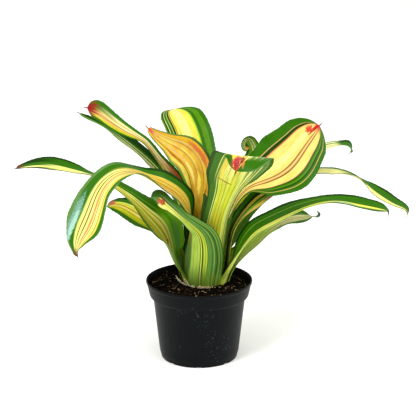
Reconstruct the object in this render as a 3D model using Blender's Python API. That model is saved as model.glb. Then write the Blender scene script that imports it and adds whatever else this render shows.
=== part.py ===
"""Potted variegated bromeliad: a rosette of strap leaves in a 12 cm nursery pot.

Blender 4.5, metres, +Z up. The origin is the middle of the pot's underside, +X is to the right of the
side with the folded front leaf, and that side faces -Y. Dimensions below are in millimetres and are
scaled once, where a mesh is made.
"""

import math

import bmesh
import bpy
import numpy as np
from mathutils import Matrix

MM = 0.001

# ---------------------------------------------------------------- driving dimensions, in millimetres

POT_HEIGHT = 91.0
POT_RIM_RADIUS = 60.0
POT_COLLAR_BOTTOM = 72.0        # where the deep collar steps in to the plain wall
POT_WALL = 1.3
POT_STEPS = 40
FOOT_RADIUS = 41.0
FOOT_RING_WIDTH = 3.6
FLOOR_PAD_RADIUS = 14.0         # flat pad under the middle of the floor, level with the foot ring
FLOOR_LIFT = 2.0                # the floor between pad and foot ring is raised by this much
FLOOR_THICKNESS = 1.5
DRAIN_HOLES = 6
DRAIN_HOLE_RADIUS = 3.0
DRAIN_RING_RADIUS = 27.0
FOOT_NOTCHES = 8
FOOT_NOTCH_WIDTH = 6.0

GAP = 0.3                       # between pieces that touch
SOIL_LEVEL = 84.4               # at the pot wall
SOIL_MOUND = 86.8               # round the plant

PLANT_X, PLANT_Y = 7.0, 12.0    # the plant stands a little behind the pot's middle
LAYER_RADII = (27.8, 25.6, 23.4, 21.2, 19.0, 16.8, 14.6, 12.4, 10.2, 8.0)
SEAT_TOP = 82.6                 # height of the leaf seat at SEAT_TOP_RADIUS
SEAT_TOP_RADIUS = 6.0
SEAT_SLOPE = 0.38               # fall of the seat for each millimetre outwards
SEAT_CLEARANCE = 0.45
STEM_RADIUS = 28.6
STEM_FOOT = 40.0
SHEATH_HEIGHT = 18.0            # the leaf bases are concentric up to this height above the seat
SHEATH_FLARE = 0.22             # widening over that height, for each millimetre of radius past 6
WELL_TOP_RADIUS = 32.6
WELL_FOOT_RADIUS = 29.4

LEAF_THICKNESS = 0.8
HUSK_THICKNESS = 0.5
LEAF_ACROSS = 6                 # faces across a leaf
STATION_PITCH = 15.0            # length of a face along a leaf
SPIKE_LENGTH = 5.0
SPIKE_HALF_WIDTH = 0.9
SPIKE_END_HALF_WIDTH = 0.3

ROOTS = 7
ROOT_RADIUS = 1.4
ROOT_SIDES = 6
ROOT_REACH = 35.0               # from the pot's axis

# ---------------------------------------------------------------- colours

POT_BLACK = (0.012, 0.012, 0.013)
PEAT = (0.035, 0.022, 0.013)
ROOT_BROWN = (0.23, 0.15, 0.08)
HUSK_BROWN = (0.42, 0.30, 0.17)
MID_GREEN = (0.10, 0.26, 0.03)
DARK_GREEN = (0.04, 0.16, 0.02)
LIME = (0.42, 0.50, 0.07)
YELLOW = (0.76, 0.66, 0.20)
ORANGE = (0.66, 0.34, 0.06)

# ---------------------------------------------------------------- leaves
# name, compass angle of the base in degrees (0 is +X, 90 is +Y), layer of the rosette (1 outermost),
# half the angle that the base wraps round the stem, colour, and the blade's stations from above the
# sheath to the tip: x, y, z of the midrib, width, half the angle of the cupped section, roll.

LEAVES = [
    ("leaf_far_left", 182, 2, 42, MID_GREEN, [
        (-29.5, 4, 115, 44, 44, -10), (-35, 7, 133, 58, 42, -20), (-42.5, 8, 149.5, 59, 40, -32),
        (-56, 7, 165, 41, 36, -36), (-73, 6, 182, 28, 35, -28), (-91, 5, 196, 22, 35, -14),
        (-116, 4, 210, 18, 30, 2), (-140, 3, 217.5, 24, 28, -16), (-162, 2, 223, 24.5, 28, -19),
        (-182, 1, 224, 20, 30, -18), (-197, 0, 221.5, 12, 30, -14), (-207, 0, 219, 5, 30, -5)]),
    ("leaf_low_left", 150, 1, 30, LIME, [
        (-25, 31, 118, 26, 42, -5), (-40, 41, 133, 29, 40, -15), (-59, 53, 141, 28, 32, -32),
        (-78, 67, 150, 27, 25, -45), (-94, 78, 154, 20, 25, -48), (-104, 82, 153, 15, 25, -30),
        (-112, 83, 149.5, 8, 30, -10)]),
    ("leaf_arching_left", 222, 3, 45, YELLOW, [
        (-9, -13, 162, 29, 46, -29), (-17, -19, 187.5, 38, 42, -56), (-36.5, -34, 209, 37, 42, -48),
        (-56, -45, 222.5, 33, 35, -24), (-71, -54, 231, 34, 25, -16), (-88, -63, 231, 37, 20, -22),
        (-103.5, -70, 219, 45, 15, -22), (-112.5, -75, 201, 51, 15, -26), (-120.5, -79, 181, 52, 18, -30),
        (-129, -82.5, 161, 34, 26, -22), (-130, -84.5, 148, 11, 30, -5), (-127, -85, 141, 6, 30, 0)]),
    ("leaf_curled_upper_left", 152, 5, 36, ORANGE, [
        (-16, 20, 150, 17, 50, -5), (-29, 22, 200, 25, 50, -5), (-39, 27, 214, 21, 48, -5),
        (-51, 33, 229, 15, 45, -6), (-64, 41, 242, 13, 35, -8), (-75, 45, 247.5, 16, 28, -18),
        (-89, 48, 255, 21, 25, -25), (-104, 50, 265.5, 24, 22, -27), (-117, 49, 275, 25, 22, -25),
        (-130, 46, 279, 21, 25, -20)]),
    ("leaf_pointed_upper_left", 132, 4, 28, MID_GREEN, [
        (-18, 54, 168, 22, 45, 0), (-38, 68, 190, 23, 45, 0), (-59, 80, 209, 22, 40, 0),
        (-87, 92, 229.5, 17, 35, 0), (-111, 102, 244, 11, 35, 0), (-130, 108, 252, 6, 30, 0),
        (-143, 112, 258, 3, 30, 0)]),
    ("leaf_orange", 125, 8, 52, ORANGE, [
        (-3, 12, 164, 22, 45, 0), (-3, 14, 182, 30, 42, 0), (-3, 18, 200, 41, 35, 0),
        (-8, 21, 219.5, 48, 25, 0), (-19, 24, 232, 45, 20, 0), (-37, 28, 242.5, 26, 20, 0),
        (-49, 29, 251, 14, 20, 0), (-60, 29, 262, 4, 30, 0)]),
    ("leaf_tall_yellow", 97, 7, 46, YELLOW, [
        (4, 40, 172, 31, 45, 0), (2, 54, 198, 42, 35, 0), (-4, 66, 219, 48, 25, 0), (-11, 76, 239, 52, 20, 5),
        (-19, 88, 254.5, 52, 15, 12), (-27, 101, 261.5, 49, 15, 16), (-33, 111, 262, 38, 15, 16)]),
    ("leaf_folded_front", -75, 4, 46, LIME, [
        (17, -10, 140, 38, 60, 0), (22, -20, 172, 37, 58, 0), (30.5, -32, 199, 45, 50, 0),
        (38, -42, 221, 63, 27, -3), (46.5, -51, 240, 69, 15, -8), (49.5, -60, 250, 60, 5, -10),
        (46, -68, 248, 54, -8, -8), (41, -72, 241, 50, -12, -4), (38, -74, 233, 46, -12, 0)]),
    ("leaf_broad_right", 15, 6, 42, YELLOW, [
        (31, 22, 136, 32, 50, 0), (39, 27, 168, 35, 52, 8), (52, 30, 189, 43, 50, 22),
        (74, 34, 201.5, 64, 28, 42), (97, 40.5, 215, 78, 18, 48), (117, 49, 236.5, 64, 18, 50),
        (130, 53, 250.5, 53, 18, 50), (139.5, 55, 258.5, 46, 18, 50)]),
    ("leaf_curled_rear", 92, 6, 32, MID_GREEN, [
        (19, 66, 158, 24, 40, 0), (40, 90, 179, 20, 35, 0), (59, 102, 202, 18, 30, 0),
        (64, 106, 214, 16, 30, 0), (61.5, 106, 222, 15, 30, 0), (57, 105, 227, 14, 30, 0),
        (53, 104, 225, 14, 30, 0), (51.5, 103.5, 220, 13, 30, 0), (54, 103.5, 216, 11, 30, 0),
        (58, 103.5, 217.5, 9, 30, 0), (56.5, 103.5, 221, 5, 30, 0)]),
    ("leaf_rear_right", 54, 5, 32, MID_GREEN, [
        (34.5, 46, 120, 23, 42, 0), (53, 64, 146, 28, 42, 0), (86, 84, 178, 23, 40, 5),
        (120, 98, 205, 16, 28, 0), (146, 108, 217, 12, 12, -9), (162, 114, 219, 11, 12, -11),
        (171, 118, 218, 12, 20, 0), (177, 121, 215, 15, 30, 15), (179, 122, 209, 13, 35, 10),
        (175.5, 122, 203, 7, 35, 0)]),
    ("leaf_far_right", 6, 3, 28, LIME, [
        (40.5, 17, 146, 20, 26, 4), (55, 21, 165, 25, 34, 18), (69, 24, 177, 28, 38, 28),
        (87, 31, 187, 25, 35, 26), (108, 38, 197, 22, 30, 20), (134, 45, 203.5, 21, 25, 18),
        (150, 47, 203, 21, 25, 16), (165, 46, 201.5, 17, 28, 6), (179, 45, 197, 14, 30, 5),
        (197, 42, 184, 23, 25, 24), (212, 38, 174, 25, 25, 27), (226, 34, 167, 25, 28, 22),
        (235.5, 31.5, 161.5, 20, 30, 14), (235, 31, 152, 9, 30, 0)]),
    ("leaf_right_front", -20, 2, 34, DARK_GREEN, [
        (38, -6, 110, 32, 32, 10), (49, -10, 133, 36, 34, 22), (63, -11, 151, 37, 38, 29),
        (79, -14, 162, 35, 35, 28), (100, -18, 174, 32, 33, 25), (131, -24, 187.5, 26, 33, 17),
        (146, -27, 190.5, 24, 30, 13), (160, -29, 190.3, 22, 28, 20), (176, -31, 187.8, 24, 28, 27),
        (191, -33, 185.2, 23, 28, 25), (201, -34, 183, 19, 30, 16), (207, -34.5, 180, 11, 30, 0),
        (206, -34.5, 173, 5, 25, 0)]),
    ("leaf_low_right", 25, 1, 45, MID_GREEN, [
        (58, 32, 118, 27, 45, 5), (80, 51, 133, 27, 40, 10), (103, 66, 140.5, 25, 33, 22),
        (118, 73, 141.5, 23, 30, 28), (127, 77, 141, 16, 30, 20), (132.5, 79, 140.5, 4.5, 25, 0)]),
    ("leaf_short_front", -92, 1, 42, LIME, [
        (8.5, -20, 117, 42, 48, 0), (8, -22, 136, 38, 48, 0), (4, -27, 151, 29, 46, 0),
        (-6, -33, 164, 19, 42, 0), (-18, -38, 176, 14, 42, 0), (-28, -42, 187, 13, 38, 15),
        (-35, -44.5, 194, 16, 28, 45), (-41, -46, 200, 21, 15, 70), (-48, -47, 202, 23, 10, 80),
        (-55, -47.5, 198, 20, 10, 85)]),
    ("leaf_low_rear", 86, 2, 40, MID_GREEN, [
        (9, 64, 118, 31, 45, 0), (12, 98, 146, 34, 35, 0), (14, 132, 158, 30, 30, 0), (14, 164, 150, 22, 30, 0),
        (13, 184, 130, 8, 30, 0)]),
    ("leaf_short_rear_right", 72, 4, 26, MID_GREEN, [
        (29, 50, 118, 23, 45, 0), (43, 73, 140, 26, 40, 0), (55, 95, 156, 20, 35, 0),
        (63, 111, 160, 7, 30, 0)]),
    ("leaf_short_rear_left", 110, 3, 27, MID_GREEN, [
        (-4, 53, 118, 26, 45, 0), (-14, 79, 140, 26, 40, 0), (-24, 101, 154, 18, 35, 0),
        (-31, 115, 158, 7, 30, 0)]),
    ("leaf_heart_left", 205, 9, 45, DARK_GREEN, [
        (0, 8, 110, 17, 55, 0), (2, 5, 140, 19, 50, 0), (4, 2, 168, 18, 40, 0), (6, -1, 187, 12, 30, 0),
        (7, -2, 196, 5, 30, 0)]),
    ("leaf_heart_right", -20, 7, 48, DARK_GREEN, [
        (20, 7, 110, 22, 60, 0), (22, 5, 135, 22, 50, 0), (25, 4, 152, 17, 40, 0), (28, 2, 166, 5, 30, 0)]),
]

# Dry outer sheaths: name, compass angle, half wrap, and the height and lean of the torn top edge.
HUSKS = [
    ("husk_left", 218, 30, 24.0, 5.0),
    ("husk_front", -88, 20, 17.0, 1.5),
    ("husk_rear", 60, 34, 26.0, 5.0),
]


# ---------------------------------------------------------------- scene, materials and meshes


def clear_scene():
    """Remove the default objects."""
    for item in list(bpy.data.objects):
        bpy.data.objects.remove(item, do_unlink=True)


def finish(name, colour, roughness):
    """A plain Principled material."""
    material = bpy.data.materials.new(name)
    material.use_nodes = True
    shader = material.node_tree.nodes["Principled BSDF"]
    shader.inputs["Base Color"].default_value = (*colour, 1.0)
    shader.inputs["Roughness"].default_value = roughness
    shader.inputs["Metallic"].default_value = 0.0
    return material


def add_object(name, mesh, material=None):
    """Link a mesh to the scene as a smooth-shaded object."""
    item = bpy.data.objects.new(name, mesh)
    bpy.context.collection.objects.link(item)
    mesh.shade_smooth()
    mesh.set_sharp_from_angle(angle=math.radians(40.0))
    if material:
        mesh.materials.append(material)
    return item


def as_guide(item):
    """A cutter or a part of a union: seen as wire, never rendered."""
    item.hide_render = True
    item.display_type = "WIRE"
    return item


def mesh_of(name, points, faces):
    """A mesh from points in millimetres."""
    mesh = bpy.data.meshes.new(name)
    mesh.from_pydata((np.asarray(points, dtype=float) * MM).tolist(), [], faces)
    mesh.update()
    return mesh


def combine(target, guide, operation):
    """Add an EXACT Boolean of the given operation."""
    modifier = target.modifiers.new(operation.title() + "_" + guide.name, "BOOLEAN")
    modifier.operation = operation
    modifier.solver = "EXACT"
    modifier.object = guide


def turned(name, profile, steps, material=None, centre=(0.0, 0.0)):
    """Turn a profile of (radius, height) points round a vertical axis into one closed solid.

    The profile either starts and ends on the axis or closes on itself.
    """
    mesh = bpy.data.meshes.new(name)
    bm = bmesh.new()
    verts = [bm.verts.new((radius * MM, 0.0, height * MM)) for radius, height in profile]
    edges = [bm.edges.new(pair) for pair in zip(verts, verts[1:])]
    bmesh.ops.spin(bm, geom=verts + edges, cent=(0, 0, 0), axis=(0, 0, 1), angle=math.tau,
                   steps=steps, use_merge=True)
    bmesh.ops.remove_doubles(bm, verts=bm.verts, dist=0.00001)
    bmesh.ops.recalc_face_normals(bm, faces=bm.faces)
    bmesh.ops.translate(bm, verts=bm.verts, vec=(centre[0] * MM, centre[1] * MM, 0.0))
    bm.to_mesh(mesh)
    bm.free()
    return add_object(name, mesh, material)


# ---------------------------------------------------------------- curves


def natural_spline(knots, values, at):
    """Natural cubic spline through rows of values at the knots, read at the given places."""
    count = len(knots)
    step = np.diff(knots)
    matrix = np.eye(count)
    right = np.zeros((count, values.shape[1]))
    for i in range(1, count - 1):
        matrix[i, i - 1:i + 2] = step[i - 1], 2 * (step[i - 1] + step[i]), step[i]
        right[i] = 6 * ((values[i + 1] - values[i]) / step[i] - (values[i] - values[i - 1]) / step[i - 1])
    bend = np.linalg.solve(matrix, right)
    k = np.clip(np.searchsorted(knots, at, side="right") - 1, 0, count - 2)
    a = ((knots[k + 1] - at) / step[k])[:, None]
    b = 1 - a
    cubic = ((a ** 3 - a) * bend[k] + (b ** 3 - b) * bend[k + 1]) * step[k][:, None] ** 2 / 6
    return a * values[k] + b * values[k + 1] + cubic


def eased(knots, values, at):
    """Smooth curve through the values that never overshoots them (monotone cubic)."""
    step = np.diff(knots)
    slope = np.diff(values) / step
    tangent = np.zeros(len(values))
    tangent[0], tangent[-1] = slope[0], slope[-1]
    for i in range(1, len(values) - 1):
        if slope[i - 1] * slope[i] > 0:
            near, far = 2 * step[i] + step[i - 1], step[i] + 2 * step[i - 1]
            tangent[i] = (near + far) / (near / slope[i - 1] + far / slope[i])
    k = np.clip(np.searchsorted(knots, at, side="right") - 1, 0, len(values) - 2)
    t = (at - knots[k]) / step[k]
    start = (2 * t ** 3 - 3 * t ** 2 + 1) * values[k] + (t ** 3 - 2 * t ** 2 + t) * step[k] * tangent[k]
    end = (3 * t ** 2 - 2 * t ** 3) * values[k + 1] + (t ** 3 - t ** 2) * step[k] * tangent[k + 1]
    return start + end


# ---------------------------------------------------------------- leaves


def seat_height(radius):
    """Height of a leaf's foot: the stem's conical top falls away from its middle."""
    return SEAT_TOP - SEAT_SLOPE * (radius - SEAT_TOP_RADIUS)


def sheath_station(angle, radius, half_wrap, rise):
    """One station of a leaf base, an arc concentric with the plant that flares as it rises."""
    grown = radius + SHEATH_FLARE * (radius - SEAT_TOP_RADIUS) * (rise / SHEATH_HEIGHT) ** 1.6
    wrap = half_wrap * (1 - 0.1 * rise / SHEATH_HEIGHT)
    x = PLANT_X + grown * math.cos(angle)
    y = PLANT_Y + grown * math.sin(angle)
    return (x, y, seat_height(radius) + rise, 2 * grown * math.radians(wrap), wrap, 0.0)


def sheath(degrees, radius, half_wrap):
    """The three stations that every leaf base shares."""
    angle = math.radians(degrees)
    return [sheath_station(angle, radius, half_wrap, rise) for rise in (0.0, 8.0, SHEATH_HEIGHT)]


def carried_width_direction(tangents, outward):
    """Width direction at each place: tangential to the rosette at the foot, then carried without twist."""
    across = np.array([-outward[1], outward[0], 0.0])
    directions = np.empty_like(tangents)
    for i, tangent in enumerate(tangents):
        across = across - (across @ tangent) * tangent
        across /= np.linalg.norm(across)
        directions[i] = across
    return directions


def blade_points(stations, rows, across):
    """Grid of points of a leaf: rows along the midrib, each an arc of the section's cup angle."""
    stations = np.array(stations, dtype=float)
    chord = np.concatenate([[0.0], np.cumsum(np.linalg.norm(np.diff(stations[:, :3], axis=0), axis=1))])
    fine = np.linspace(0.0, chord[-1], 240)
    midrib = natural_spline(chord, stations[:, :3], fine)
    arc = np.concatenate([[0.0], np.cumsum(np.linalg.norm(np.diff(midrib, axis=0), axis=1))])
    tangents = np.gradient(midrib, arc, axis=0)
    tangents /= np.linalg.norm(tangents, axis=1)[:, None]
    outward = stations[0, :3] - (PLANT_X, PLANT_Y, stations[0, 2])
    outward /= np.linalg.norm(outward)
    widthwise = carried_width_direction(tangents, outward)
    upward = np.cross(widthwise, tangents)
    upward *= -np.sign(upward[0] @ outward)

    place = np.linspace(0.0, arc[-1], rows)
    knots = np.interp(chord, fine, arc)
    half = eased(knots, stations[:, 3], place) / 2
    cup = np.radians(eased(knots, stations[:, 4], place))
    roll = np.radians(eased(knots, stations[:, 5], place))
    pick = [np.stack([np.interp(place, arc, grid[:, i]) for i in range(3)], axis=1)
            for grid in (midrib, widthwise, upward)]
    centre, widthwise, upward = pick
    turn_cos, turn_sin = np.cos(roll)[:, None], np.sin(roll)[:, None]
    lateral = widthwise * turn_cos + upward * turn_sin
    normal = upward * turn_cos - widthwise * turn_sin

    # The end is rounded as half an ellipse, and a short spike stands on it.
    rounding = np.clip((place - (arc[-1] - SPIKE_LENGTH - half[-1])) / half[-1], 0.0, 1.0)
    left = (arc[-1] - place) / SPIKE_LENGTH
    spike = SPIKE_END_HALF_WIDTH + (SPIKE_HALF_WIDTH - SPIKE_END_HALF_WIDTH) * np.clip(left, 0.0, 1.0)
    half = np.maximum(half * np.sqrt(1 - rounding ** 2), spike)
    cup = np.where(np.abs(cup) < 0.01, 0.01, cup)[:, None]
    t = np.linspace(-1.0, 1.0, across + 1)
    sideways = half[:, None] * np.sin(cup * t) / cup
    inwards = half[:, None] * (1 - np.cos(cup * t)) / cup
    return centre[:, None] + lateral[:, None] * sideways[..., None] + normal[:, None] * inwards[..., None]


def sheet_faces(rows, columns):
    """Quads of a grid of points, row after row."""
    return [(i * columns + j, (i + 1) * columns + j, (i + 1) * columns + j + 1, i * columns + j + 1)
            for i in range(rows - 1) for j in range(columns - 1)]


def add_sheet(name, stations, thickness, material):
    """A leaf or husk: a grid of points with a wall of even thickness."""
    stations_mm = np.array(stations, dtype=float)[:, :3]
    length = np.linalg.norm(np.diff(stations_mm, axis=0), axis=1).sum()
    rows = max(8, round(length / STATION_PITCH) + 1)
    points = blade_points(stations, rows, LEAF_ACROSS)
    mesh = mesh_of(name, points.reshape(-1, 3), sheet_faces(rows, LEAF_ACROSS + 1))
    item = add_object(name, mesh, material)
    wall = item.modifiers.new("Wall", "SOLIDIFY")
    wall.thickness = thickness * MM
    wall.offset = 0.0
    return item


def add_leaves():
    for name, degrees, layer, half_wrap, colour, blade in LEAVES:
        stations = sheath(degrees, LAYER_RADII[layer], half_wrap) + blade
        add_sheet(name, stations, LEAF_THICKNESS, finish(name + "_blade", colour, 0.35))


def add_husks():
    """Short dry sheaths outside the outermost leaves, leaning out at the top."""
    radius = LAYER_RADII[0]
    for name, degrees, half_wrap, height, lean in HUSKS:
        angle = math.radians(degrees)
        top_radius = radius + SHEATH_FLARE * (radius - SEAT_TOP_RADIUS) + lean
        x = PLANT_X + top_radius * math.cos(angle)
        y = PLANT_Y + top_radius * math.sin(angle)
        top = (x, y, seat_height(radius) + height, radius * 0.35, half_wrap * 0.4, 0.0)
        foot = [sheath_station(angle, radius, half_wrap, rise) for rise in (0.0, 7.0, 14.0)]
        add_sheet(name, foot + [top], HUSK_THICKNESS, finish(name + "_paper", HUSK_BROWN, 0.8))


# ---------------------------------------------------------------- stem and roots


def stem_profile(grow=0.0):
    """Half section of the stem, optionally grown outwards for the hollow it sits in."""
    edge = seat_height(STEM_RADIUS) - SEAT_CLEARANCE
    lower = [(STEM_RADIUS, edge - 1.6), (24.0, 64.0), (17.0, 54.0), (11.0, 47.0), (6.5, 42.0)]
    return [(radius + grow, height - grow) for radius, height in lower] + [(0.0, STEM_FOOT - grow)]


def root_line(index):
    """Centre line of one root, from inside the stem down and out towards the pot wall."""
    angle = math.tau * (index + 0.3) / ROOTS
    end = np.array([ROOT_REACH * math.cos(angle), ROOT_REACH * math.sin(angle), 12.0 + 7.0 * (index % 3)])
    start = np.array([PLANT_X + 9.0 * math.cos(angle), PLANT_Y + 9.0 * math.sin(angle), 56.0])
    shoulder = np.array([PLANT_X + 21.0 * math.cos(angle), PLANT_Y + 21.0 * math.sin(angle), 42.0])
    t = np.linspace(0.0, 1.0, 6)[:, None]
    return (1 - t) ** 2 * start + 2 * t * (1 - t) * shoulder + t ** 2 * end


def tube_mesh(name, lines, radius, extension=0.0):
    """One mesh of closed tubes round the given centre lines, carried on past the ends if asked."""
    points, faces = [], []
    turn = np.linspace(0.0, math.tau, ROOT_SIDES, endpoint=False)[:, None]
    for line in lines:
        first = len(points)
        run = line[-1] - line[0]
        last_step = line[-1] - line[-2]
        line = np.vstack([line[:-1], line[-1] + last_step / np.linalg.norm(last_step) * extension])
        side = np.cross(run, (0.0, 0.0, 1.0))
        side /= np.linalg.norm(side)
        lift = np.cross(side, run / np.linalg.norm(run))
        ring = radius * (np.cos(turn) * side + np.sin(turn) * lift)
        for centre in line:
            points.extend(centre + ring)
        for i in range(len(line) - 1):
            for j in range(ROOT_SIDES):
                a, b = first + i * ROOT_SIDES + j, first + i * ROOT_SIDES + (j + 1) % ROOT_SIDES
                faces.append((a, a + ROOT_SIDES, b + ROOT_SIDES, b))
        last = len(points) - ROOT_SIDES
        faces.append(tuple(range(first, first + ROOT_SIDES)))
        faces.append(tuple(reversed(range(last, last + ROOT_SIDES))))
    mesh = mesh_of(name, points, faces)
    bm = bmesh.new()
    bm.from_mesh(mesh)
    bmesh.ops.recalc_face_normals(bm, faces=bm.faces)
    bm.to_mesh(mesh)
    bm.free()
    return mesh


def add_stem():
    """The short stout stem, with the leaves' conical seat on top and its roots below."""
    seat = [(0.0, seat_height(SEAT_TOP_RADIUS) - SEAT_CLEARANCE + 0.3),
            (SEAT_TOP_RADIUS, seat_height(SEAT_TOP_RADIUS) - SEAT_CLEARANCE),
            (STEM_RADIUS, seat_height(STEM_RADIUS) - SEAT_CLEARANCE)]
    material = finish("stem_bark", ROOT_BROWN, 0.8)
    lines = [root_line(index) for index in range(ROOTS)]
    stem = turned("stem_and_roots", seat + stem_profile(), 24, material, (PLANT_X, PLANT_Y))
    roots = as_guide(add_object("root_tubes", tube_mesh("root_tubes", lines, ROOT_RADIUS)))
    combine(stem, roots, "UNION")


# ---------------------------------------------------------------- soil


def add_soil():
    """The root ball: it fills the pot and has a hollow for the leaf bases, the stem and the roots."""
    inside = [(radius - 1.5 * GAP, height) for radius, height in pot_inner_wall() if height < SOIL_LEVEL]
    inside[0] = (inside[0][0], inside[0][1] + 1.5 * GAP)
    pad_top = FLOOR_THICKNESS + 1.5 * GAP
    floor_top = FLOOR_LIFT + FLOOR_THICKNESS + 1.5 * GAP
    profile = [(0.0, pad_top), (FLOOR_PAD_RADIUS - 1.0, pad_top), (FLOOR_PAD_RADIUS + 1.6, floor_top)]
    profile += inside + [(56.6, SOIL_LEVEL), (48.0, SOIL_LEVEL + 1.2), (36.0, SOIL_MOUND), (0.0, SOIL_MOUND)]
    soil = turned("soil", profile, POT_STEPS, finish("peat", PEAT, 0.95))

    mouth = [(0.0, SOIL_MOUND + 4.0), (WELL_TOP_RADIUS + 0.6, SOIL_MOUND + 4.0), (WELL_TOP_RADIUS, SOIL_MOUND)]
    hollow = mouth + [(WELL_FOOT_RADIUS, seat_height(STEM_RADIUS) - SEAT_CLEARANCE)] + stem_profile(0.4)
    well = as_guide(turned("well_cutter", hollow, 24, None, (PLANT_X, PLANT_Y)))
    combine(soil, well, "DIFFERENCE")
    lines = [root_line(index) for index in range(ROOTS)]
    channels = tube_mesh("root_channels", lines, ROOT_RADIUS + 0.5, extension=0.7)
    combine(soil, as_guide(add_object("root_channels", channels)), "DIFFERENCE")


# ---------------------------------------------------------------- pot


def pot_outer_wall():
    """Outside of the pot, from the foot up to the rim."""
    bottom = POT_COLLAR_BOTTOM
    return [(FOOT_RADIUS, 0.0), (FOOT_RADIUS + 0.7, 3.0), (45.0, 7.5), (51.3, 64.0), (52.2, bottom - 1.0),
            (52.6, bottom), (56.0, bottom + 1.2), (56.6, bottom + 4.0), (58.1, 82.0),
            (POT_RIM_RADIUS, POT_HEIGHT - 0.8), (POT_RIM_RADIUS - 0.5, POT_HEIGHT)]


def pot_inner_wall():
    """Inside of the pot, from the floor up to the rim."""
    bottom = POT_COLLAR_BOTTOM
    floor_top = FLOOR_LIFT + FLOOR_THICKNESS
    return [(40.2, floor_top), (45.0 - POT_WALL, 8.4), (51.3 - POT_WALL, 64.0), (50.9, bottom - 1.4),
            (54.9, bottom + 3.2), (56.8, 82.2), (58.6, POT_HEIGHT - 1.2), (58.9, POT_HEIGHT - 0.2)]


def add_pot():
    """The moulded pot: floor with a pad, a raised ring with drain holes, foot ring, wall and collar."""
    under = [(0.0, 0.0), (FLOOR_PAD_RADIUS, 0.0), (FLOOR_PAD_RADIUS + 1.0, FLOOR_LIFT),
             (FOOT_RADIUS - FOOT_RING_WIDTH - 0.6, FLOOR_LIFT), (FOOT_RADIUS - FOOT_RING_WIDTH, 0.0)]
    floor = [(FLOOR_PAD_RADIUS + 1.4, FLOOR_LIFT + FLOOR_THICKNESS),
             (FLOOR_PAD_RADIUS - 1.0, FLOOR_THICKNESS), (0.0, FLOOR_THICKNESS)]
    inner = list(reversed(pot_inner_wall()))
    pot = turned("pot", under + pot_outer_wall() + inner + floor, POT_STEPS,
                 finish("black_plastic", POT_BLACK, 0.45))
    combine(pot, add_drain_cutter(), "DIFFERENCE")
    combine(pot, add_notch_cutter(), "DIFFERENCE")


def add_drain_cutter():
    """Upright rods in a ring, one for each drain hole."""
    bm = bmesh.new()
    for index in range(DRAIN_HOLES):
        angle = math.tau * (index + 0.5) / DRAIN_HOLES
        made = bmesh.ops.create_cone(bm, cap_ends=True, segments=12, radius1=DRAIN_HOLE_RADIUS * MM,
                                     radius2=DRAIN_HOLE_RADIUS * MM, depth=8.0 * MM)
        spot = (DRAIN_RING_RADIUS * MM * math.cos(angle), DRAIN_RING_RADIUS * MM * math.sin(angle), 2.5 * MM)
        bmesh.ops.translate(bm, verts=made["verts"], vec=spot)
    return guide_from(bm, "drain_cutter")


def add_notch_cutter():
    """Bars across the foot ring, which leave the notches that let water run out from under the pot."""
    bm = bmesh.new()
    middle = FOOT_RADIUS - FOOT_RING_WIDTH / 2
    for index in range(FOOT_NOTCHES):
        turn = math.tau * index / FOOT_NOTCHES
        made = bmesh.ops.create_cube(bm, size=1.0)
        bmesh.ops.scale(bm, verts=made["verts"], vec=(9.0 * MM, FOOT_NOTCH_WIDTH * MM, 3.0 * MM))
        bmesh.ops.translate(bm, verts=made["verts"], vec=(middle * MM, 0.0, 0.0))
        bmesh.ops.rotate(bm, verts=made["verts"], cent=(0, 0, 0), matrix=Matrix.Rotation(turn, 3, "Z"))
    return guide_from(bm, "notch_cutter")


def guide_from(bm, name):
    """Turn a bmesh into a wire guide object."""
    mesh = bpy.data.meshes.new(name)
    bm.to_mesh(mesh)
    bm.free()
    return as_guide(add_object(name, mesh))


def main():
    clear_scene()
    add_pot()
    add_soil()
    add_stem()
    add_husks()
    add_leaves()


main()
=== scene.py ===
# %% [markdown]
# # A variegated bromeliad in a nursery pot
#
# A rosette of strap leaves, striped lengthwise in green, cream, yellow and orange, grows from a short
# stem in a small black plastic pot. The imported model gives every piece's place and plain shape. This
# lesson dresses it: each leaf becomes a thin striped blade with a spiny margin, the soil gets its crumbs
# and fibres, and the pot its moulded plastic.

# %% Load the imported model
import math

import bmesh
import bpy
import numpy as np
from mathutils import Matrix, Vector


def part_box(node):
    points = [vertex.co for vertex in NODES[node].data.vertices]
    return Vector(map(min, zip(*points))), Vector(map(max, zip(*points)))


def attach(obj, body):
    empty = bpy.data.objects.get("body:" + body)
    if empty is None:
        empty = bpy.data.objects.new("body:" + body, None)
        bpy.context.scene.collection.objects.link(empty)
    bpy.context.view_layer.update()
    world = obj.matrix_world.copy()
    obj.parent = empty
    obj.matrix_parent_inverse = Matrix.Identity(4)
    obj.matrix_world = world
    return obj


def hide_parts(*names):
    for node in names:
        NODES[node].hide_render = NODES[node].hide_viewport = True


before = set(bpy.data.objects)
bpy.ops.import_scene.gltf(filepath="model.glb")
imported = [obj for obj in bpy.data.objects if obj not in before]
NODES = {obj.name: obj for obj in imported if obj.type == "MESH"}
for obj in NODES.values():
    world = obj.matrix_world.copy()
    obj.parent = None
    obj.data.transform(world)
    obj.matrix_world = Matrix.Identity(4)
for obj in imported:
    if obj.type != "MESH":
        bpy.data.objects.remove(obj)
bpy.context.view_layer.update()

MM = 0.001
LATTICE, LATTICE_SHIFT = (97, 89), 40.0

# %% [markdown]
# ## Surfaces from grids
#
# Nearly every piece here is a surface of two parameters: along and across a leaf, round and up a pot.
# It could be modelled by hand, but a grid of points worked out with numpy keeps the formula in sight. A
# closed shell is a grid that wraps round in one direction and has its ends zipped shut, or wraps both ways.

# %% Grids to meshes


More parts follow.
